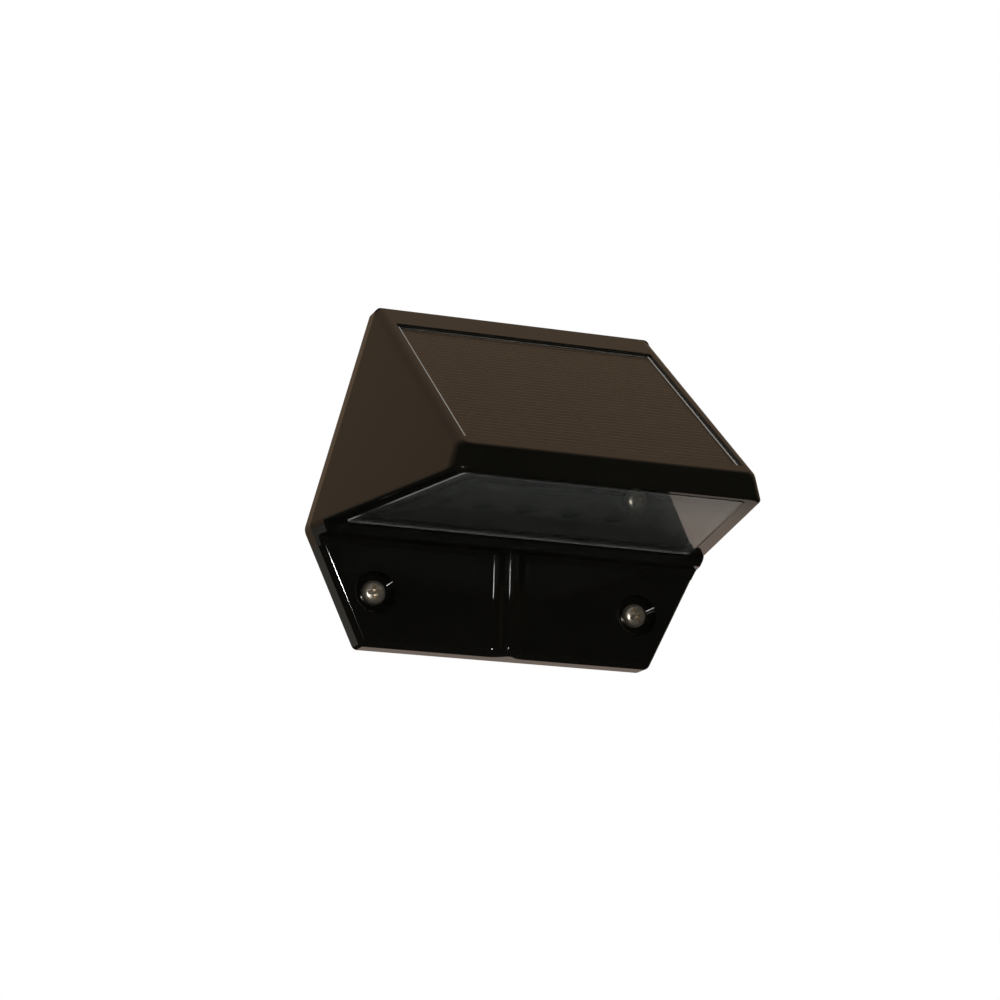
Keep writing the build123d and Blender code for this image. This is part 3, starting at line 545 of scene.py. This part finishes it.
def panHead(settings):
    # outline of a pan head from its underside up to the middle of its top
    radius, height, side = settings["headRadius"], settings["headHeight"], settings["headSide"]
    points = [(radius - headShape["inset"] * height, 0.0), (radius, headShape["lip"] * height),
              (radius, side * height)]
    for step in range(1, headShape["steps"]):
        angle = math.pi / 2 * step / headShape["steps"]
        out = math.cos(angle) ** headShape["square"]
        rise = math.sin(angle) ** headShape["crown"]
        points.append((radius * out, height * (side + (1 - side) * rise)))
    return points + [(0.0, height)]


threadShape = {
    "step": 0.125, "flank": 0.24,          # shares of the pitch
    "point": 0.12,                         # share of the core's radius that is left at the tip
    "coreTaper": 0.8, "crestTaper": 0.5,   # powers
    "runout": 0.3,                         # length of the plain part's cone, as a share of its step in radius
}


def threadedShank(mesh, settings, reach):
    # helical ridge on a core that tapers to a point, from -plainLength down to -reach
    start, pitch = settings["plainLength"], settings["pitch"]
    crest, core, count = settings["crestRadius"], settings["coreRadius"], settings["segments"]
    point = threadShape["point"]
    rings = []
    steps = round((reach - start) / (pitch * threadShape["step"]))
    for step in range(steps + 1):
        depth = start + (reach - start) * step / steps
        ending = min(1.0, (reach - depth) / settings["tipLength"])
        starting = min(1.0, (depth - start) / pitch)
        coreHere = core * (point + (1 - point) * ending ** threadShape["coreTaper"])
        ring = []
        for i in range(count):
            phase = (depth / pitch + i / count) % 1.0
            ridge = max(0.0, 1.0 - abs(phase - 0.5) / threadShape["flank"])
            radius = coreHere + (crest - core) * ridge * starting * ending ** threadShape["crestTaper"]
            angle = 2 * math.pi * i / count
            ring.append(mesh.verts.new((radius * math.cos(angle), radius * math.sin(angle), -depth)))
        rings.append(ring)
    bridgeAll(mesh, rings)
    mesh.faces.new(rings[-1])
    return rings[0]


# sides that a head can face: axis, which way along it, and the turn from up
sides = {
    "front": (1, -1, Matrix.Rotation(math.pi / 2, 4, "X")),
    "back": (1, 1, Matrix.Rotation(-math.pi / 2, 4, "X")),
    "up": (2, 1, Matrix.Identity(4)),
}


def buildScrew(name, nodeName, settings, side, material):
    # a screw that fills its node's box, with its head at one side of it
    axis, way, tilt = sides[side]
    low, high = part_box(nodeName)
    headHeight = settings["headHeight"]
    reach = high[axis] - low[axis] - headHeight
    mesh = bmesh.new()
    rings = [threadedShank(mesh, settings, reach)]
    plain, count = settings["plainRadius"], settings["segments"]
    runout = threadShape["runout"] * (plain - settings["coreRadius"])
    underHead = settings["headRadius"] - headShape["inset"] * headHeight
    for radius, height in ((plain, runout - settings["plainLength"]), (plain, 0.0), (underHead, 0.0)):
        rings.append(ringOf(mesh, radius, height, count))
    bridgeAll(mesh, rings)
    revolve(mesh, panHead(settings), count)
    weld(mesh)
    mesh = cutCross(mesh, headHeight, settings)
    seat = (low + high) / 2                # middle of the head's underside
    seat[axis] = (high if way > 0 else low)[axis] - way * headHeight
    spin = Matrix.Rotation(math.radians(settings["crossTurn"]), 4, "Z")
    bmesh.ops.transform(mesh, matrix=Matrix.Translation(seat) @ tilt @ spin, verts=mesh.verts)
    finishPiece(mesh, name, [material], screwSharp, nodeName)


woodScrew = {
    "headRadius": 3.8 * mm, "headHeight": 2.7 * mm, "headSide": 0.26,
    "crossSpan": 4.9 * mm, "crossWidth": 1.25 * mm, "crossDepth": 2.0 * mm,
    "plainRadius": 2.1 * mm, "plainLength": 5.0 * mm, "crestRadius": 2.05 * mm, "coreRadius": 1.45 * mm,
    "pitch": 1.9 * mm, "tipLength": 6.0 * mm, "segments": 40,
}
for name, nodeName, turn in (("woodScrewLeft", "mounting_screw_left", 12),
                             ("woodScrewRight", "mounting_screw_right", 38)):
    buildScrew(name, nodeName, dict(woodScrew, crossTurn=turn), "front", metals["platedScrew"])

coverScrew = {
    "headRadius": 2.3 * mm, "headHeight": 1.4 * mm, "headSide": 0.4,
    "crossSpan": 2.7 * mm, "crossWidth": 0.6 * mm, "crossDepth": 0.9 * mm,
    "plainRadius": 1.25 * mm, "plainLength": 1.0 * mm, "crestRadius": 1.25 * mm, "coreRadius": 0.95 * mm,
    "pitch": 0.9 * mm, "tipLength": 1.2 * mm, "segments": 24,
}
doorScrew = {
    "headRadius": 1.8 * mm, "headHeight": 0.9 * mm, "headSide": 0.4,
    "crossSpan": 2.1 * mm, "crossWidth": 0.5 * mm, "crossDepth": 0.6 * mm,
    "plainRadius": 1.0 * mm, "plainLength": 0.7 * mm, "crestRadius": 1.0 * mm, "coreRadius": 0.76 * mm,
    "pitch": 0.7 * mm, "tipLength": 0.9 * mm, "segments": 24,
}
boardScrew = dict(doorScrew, headHeight=1.2 * mm, crossDepth=0.7 * mm)


def buildSmallScrew(name, nodeName, number, settings, side, turn):
    # one of several alike, whose crosses stand turn degrees apart
    turned = dict(settings, crossTurn=turn * number)
    buildScrew(f"{name}{number}", f"{nodeName}_{number}", turned, side, metals["plainSteel"])


for number in (1, 2, 3, 4):
    buildSmallScrew("coverScrew", "back_cover_screw", number, coverScrew, "back", 23)
for number in (1, 2):
    buildSmallScrew("doorScrew", "door_screw", number, doorScrew, "back", 31)
    buildSmallScrew("controlScrew", "control_screw", number, boardScrew, "front", 17)
    buildSmallScrew("lampScrew", "led_board_screw", number, boardScrew, "up", 40)
print("screws built")

lamp = {"count": 4, "rim": 2.9 * mm, "rimThick": 0.8 * mm, "body": 2.5 * mm, "segments": 28, "domeSteps": 8}


def buildLamp(number, settings):
    # a round rim on the board above, and a body that hangs from it and ends in a dome
    low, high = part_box(f"led_{number}")
    body, steps = settings["body"], settings["domeSteps"]
    domeTop = body - (high.z - low.z)
    profile = [(0.0, 0.0), (settings["rim"], 0.0), (settings["rim"], -settings["rimThick"]),
               (body, -settings["rimThick"]), (body, domeTop)]
    for step in range(1, steps):
        angle = math.pi / 2 * step / steps
        profile.append((body * math.cos(angle), domeTop - body * math.sin(angle)))
    profile.append((0.0, domeTop - body))
    mesh = bmesh.new()
    revolve(mesh, profile, settings["segments"])
    middle = (low + high) / 2
    bmesh.ops.translate(mesh, verts=mesh.verts, vec=(middle.x, middle.y, high.z))
    finishPiece(mesh, f"lamp{number}", [epoxy], lampSharp, f"led_{number}")


for number in range(1, lamp["count"] + 1):
    buildLamp(number, lamp)
print("lamps built")

coverLook = {
    "lift": 0.06 * mm,                     # of its underside off the cells
    "topGap": 0.5 * mm, "bevel": 0.22 * mm,
    "bevelSteps": ((0.0, 1.0), (0.3, 0.3), (1.0, 0.0)),    # inset and drop, as shares of the bevel
    # the lines are raised pale strips, a painted highlight along the cover's sides
    "lineInset": 0.75 * mm, "lineWidth": 0.34 * mm, "lineRise": 0.14 * mm,
    "lineSection": ((-1, -0.2), (1, -0.2), (0.9, 0.4), (0.4, 1.0), (-0.4, 1.0), (-0.9, 0.4)),
}


def buildPanelCover(settings):
    # clear cover of the panel: top edges bevelled, cut sides pale, a raised pale line along each side; the
    # pale lines are a painted highlight of the glint along the panel's edges
    slopeDown = Vector(cellLook["slope"])
    slopeOut = Vector((0, slopeDown.z, -slopeDown.y))

    def onSlope(x, down, out):
        return Vector((x, 0, 0)) + down * slopeDown + out * slopeOut

    points = [v.co.copy() for v in nodes["solar_cover"].data.vertices]
    outside = max(point.dot(slopeOut) for point in points)
    inside = min(point.dot(slopeOut) for point in points) + settings["lift"]
    rim = [(point.x, point.dot(slopeDown)) for point in points if point.dot(slopeOut) > outside - onLevel]
    middle = (sum(x for x, _ in rim) / len(rim), sum(down for _, down in rim) / len(rim))
    rim = orderedRim(rim, middle)
    highEnd = min(down for _, down in rim) + settings["topGap"]
    lowEnd = max(down for _, down in rim)
    left, right = min(x for x, _ in rim), max(x for x, _ in rim)

    mesh = bmesh.new()
    bevel = settings["bevel"]
    rings = []
    levels = [(0.0, inside)] + [(inset, outside - drop * bevel) for inset, drop in settings["bevelSteps"]]
    for inset, height in levels:
        ring = []
        for x, down in rim:
            down = max(down, highEnd)
            x -= math.copysign(inset * bevel, x - middle[0])
            down -= math.copysign(inset * bevel, down - middle[1])
            ring.append(mesh.verts.new(onSlope(x, down, height)))
        rings.append(ring)
    bridgeAll(mesh, rings, 1)
    mesh.faces.new(rings[0])
    mesh.faces.new(rings[-1])

    # pale strips along both sides: painted highlight where the panel's side edges glint
    half, rise = settings["lineWidth"] / 2, settings["lineRise"]
    for side in (left + settings["lineInset"], right - settings["lineInset"]):
        ends = [[mesh.verts.new(onSlope(side + a * half, down, outside + b * rise))
                 for a, b in settings["lineSection"]]
                for down in (highEnd + 2 * bevel, lowEnd - 2 * bevel)]
        bridgeAll(mesh, ends, 1)
        for end in ends:
            mesh.faces.new(end).material_index = 1
    finishPiece(mesh, "bevelledCover", [panelGlass, cutEdgeAndPaintedGlint], flatSharp, "solar_cover")


buildPanelCover(coverLook)
print("panel cover built")

prisms = {"width": frostedWithValleyShade["pitch"], "rise": 0.24 * mm, "border": 0.5 * mm, "sideGap": 0.25 * mm}


def insideRim(outline, x, y):
    # how far a point lies inside an outline, which is convex
    distances = []
    for (ax, ay), (bx, by) in zip(outline, outline[1:] + outline[:1]):
        distances.append(((bx - ax) * (y - ay) - (by - ay) * (x - ax)) / math.hypot(bx - ax, by - ay))
    return min(distances)


def buildLens(settings):
    # lens: flat and glossy below, with rows of little diamond pyramids on its upper face
    low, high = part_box("lens")
    centre = (low + high) / 2
    narrower = 1 - settings["sideGap"] / high.x
    rim = [(v.co.x * narrower, v.co.y) for v in nodes["lens"].data.vertices if v.co.z < low.z + onLevel]
    outline = orderedRim(rim, centre)
    baseTop = high.z - settings["rise"]
    half = settings["width"] / 2
    mesh = bmesh.new()
    corners = {}

    def cornerSpot(column, row):
        return centre.x + column * half, centre.y + row * half

    def latticeCorner(column, row):
        if (column, row) not in corners:
            corners[column, row] = mesh.verts.new((*cornerSpot(column, row), baseTop))
        return corners[column, row]

    columns = int((high.x - low.x) / 2 / half) + 2
    rows = int((high.y - low.y) / 2 / half) + 2
    for column in range(-columns, columns + 1):
        for row in range(-rows, rows + 1):
            if (column + row) % 2:
                continue
            feet = [(column - 1, row), (column, row - 1), (column + 1, row), (column, row + 1)]
            if min(insideRim(outline, *cornerSpot(i, j)) for i, j in feet) < settings["border"]:
                continue
            peak = mesh.verts.new((*cornerSpot(column, row), high.z))
            bridge(mesh, [latticeCorner(i, j) for i, j in feet], [peak], 1)

    edgeOfField = [edge for edge in mesh.edges if len(edge.link_faces) == 1]
    lowerRing = [mesh.verts.new((x, y, low.z)) for x, y in outline]
    upperRing = [mesh.verts.new((x, y, baseTop)) for x, y in outline]
    mesh.faces.new(lowerRing)
    bridge(mesh, lowerRing, upperRing, 2)
    rimEdges = [mesh.edges.get(pair) for pair in zip(upperRing, upperRing[1:] + upperRing[:1])]
    border = bmesh.ops.triangle_fill(mesh, edges=edgeOfField + rimEdges, use_beauty=False)["geom"]
    for face in border:
        if isinstance(face, bmesh.types.BMFace):
            face.material_index = 1
    openEdges = sum(1 for edge in mesh.edges if len(edge.link_faces) != 2)
    print("lens faces", len(mesh.faces), "open edges", openEdges)
    finishPiece(mesh, "prismLens", [lensGlass, prismGlass, lensEdge], flatSharp, "lens")


buildLens(prisms)


# stage, lights, camera

stageLook = {
    "floorRise": -0.34, "floorSize": 6.0, "floorRough": 0.9, "floorCloud": 3.0,
    "floor": (0.80, 0.80, 0.79, 1), "floorDull": (0.78, 0.78, 0.77, 1),
    "floorGloss": (0.62, 0.50, 0.42, 1),   # floor behind the light, as gloss sees it
    "floorLeft": (0.29, 0.28, 0.25, 1),    # the same, to the left
    "sheen": (0.158, 0.110, 0.070, 1),     # surroundings behind, as gloss sees them
    "high": (0.254, 0.178, 0.118, 1),      # the same, above
    "frontDark": (0.008, 0.008, 0.007, 1),    # the same, in front, and the floor there
    "scattered": (0.55, 0.55, 0.55, 1),    # surroundings, as matt faces see them
    # where those colours change: along Y and X on the floor, and by direction around
    "farBehind": (1.2, 1.42), "leftToRight": (-0.25, 0.25),
    "behind": (-0.25, 0.45), "upward": (-0.1, 0.9), "downward": (0.5, 0.2),
}


def layFloor(settings):
    mesh = bmesh.new()
    bmesh.ops.create_grid(mesh, x_segments=8, y_segments=8, size=settings["floorSize"])
    floor = asObject(mesh, "floor")
    floor.location = (0, 0, settings["floorRise"])
    paint, tree, shader = newMaterial("paleFloor", Roughness=settings["floorRough"])
    spot = here(tree)
    cloud = noise(tree, spot, settings["floorCloud"])
    pale = blendColour(tree, cloud, settings["floor"], settings["floorDull"])
    path = place(tree, "ShaderNodeLightPath").outputs
    mirrored = compute(tree, "SUBTRACT", path["Is Glossy Ray"], path["Is Transmission Ray"], clamp=True)
    farBehind = ramp(tree, along(tree, spot, (0, 1, 0)), *settings["farBehind"])
    leftToRight = ramp(tree, along(tree, spot, (1, 0, 0)), *settings["leftToRight"])
    glossy = blendColour(tree, leftToRight, settings["floorLeft"], settings["floorGloss"])
    glossy = blendColour(tree, farBehind, settings["frontDark"], glossy)
    feed(tree, blendColour(tree, mirrored, pale, glossy), shader["Base Color"])
    floor.data.materials.append(paint)


def hangSurroundings(settings):
    # white to the camera, dark in front and warm behind to gloss, and an even grey to matt faces
    # and to what looks down through the lens
    world = bpy.data.worlds.new("studio")
    bpy.context.scene.world = world
    world.use_nodes = True
    tree = world.node_tree
    outward = place(tree, "ShaderNodeTexCoord").outputs["Generated"]
    behind = ramp(tree, along(tree, outward, (0.0, 1.0, 0.0)), *settings["behind"])
    height = along(tree, outward, (0.0, 0.0, 1.0))
    around = blendColour(tree, ramp(tree, height, *settings["upward"]), settings["sheen"], settings["high"])
    around = blendColour(tree, behind, settings["frontDark"], around)
    path = place(tree, "ShaderNodeLightPath").outputs
    downward = ramp(tree, height, *settings["downward"])
    throughLens = compute(tree, "MULTIPLY", path["Is Transmission Ray"], downward)
    scattered = compute(tree, "MAXIMUM", path["Is Diffuse Ray"], throughLens)
    around = blendColour(tree, scattered, around, settings["scattered"])
    seen = blendColour(tree, path["Is Camera Ray"], around, (1, 1, 1, 1))
    feed(tree, seen, tree.nodes["Background"].inputs["Color"])


def areaLight(name, spot, target, width, height, power):
    data = bpy.data.lights.new(name, "AREA")
    data.shape = "RECTANGLE"
    data.size = width
    data.size_y = height
    data.energy = power
    light = bpy.data.objects.new(name, data)
    light.location = spot
    light.rotation_euler = (Vector(target) - Vector(spot)).to_track_quat("-Z", "Y").to_euler()
    bpy.context.scene.collection.objects.link(light)
    return light


layFloor(stageLook)
hangSurroundings(stageLook)

softboxTarget = (0, -0.04, 0.02)
softboxes = {
    "key": {"spot": (-0.5, -0.9, 1.6), "size": 0.8, "power": 9.0},
    "fill": {"spot": (1.4, 0.6, 0.9), "size": 0.9, "power": 5.0},
}
for name, box in softboxes.items():
    softbox = areaLight(name, box["spot"], softboxTarget, box["size"], box["size"], box["power"])
    softbox.visible_glossy = False         # the casting mirrors neither of them
    softbox.visible_transmission = False

# the photograph's camera, solved from the light's edges
shot = {
    "azimuth": -18.1, "elevation": -12.9, "roll": 1.6, "distance": 0.7955, "aim": (-0.0124, -0.035, 0.02577),
    "focalPixels": 2660.7, "picturePixels": 1000, "sensor": 36, "clipEnd": 50,
}
turn, lift, roll = (math.radians(shot[key]) for key in ("azimuth", "elevation", "roll"))
aim = Vector(shot["aim"])
outward = Vector((math.sin(turn) * math.cos(lift), -math.cos(turn) * math.cos(lift), math.sin(lift)))
eye = aim + shot["distance"] * outward
ahead = (aim - eye).normalized()
right = ahead.cross(Vector((0, 0, 1))).normalized()
up = right.cross(ahead)
rightRolled = math.cos(roll) * right + math.sin(roll) * up
upRolled = -math.sin(roll) * right + math.cos(roll) * up

# small lights over the lens of the camera: the source of the thin highlights
cameraLights = {
    "flash": {"above": 0.12, "width": 0.035, "height": 0.022, "power": 1.0},
    "glow": {"above": 0.026, "width": 0.026, "height": 0.024, "power": 0.25},
}
for name, small in cameraLights.items():
    areaLight(name, eye + small["above"] * upRolled, aim, small["width"], small["height"], small["power"])

cameraData = bpy.data.cameras.new("photoView")
cameraData.sensor_width = shot["sensor"]
cameraData.lens = shot["focalPixels"] / shot["picturePixels"] * shot["sensor"]
cameraData.clip_end = shot["clipEnd"]
camera = bpy.data.objects.new("photoView", cameraData)
facing = Matrix((rightRolled, upRolled, -ahead)).transposed().to_4x4()
camera.matrix_world = Matrix.Translation(eye) @ facing
bpy.context.scene.collection.objects.link(camera)
bpy.context.scene.camera = camera
bpy.context.scene.view_settings.view_transform = "Standard"
print("stage ready")
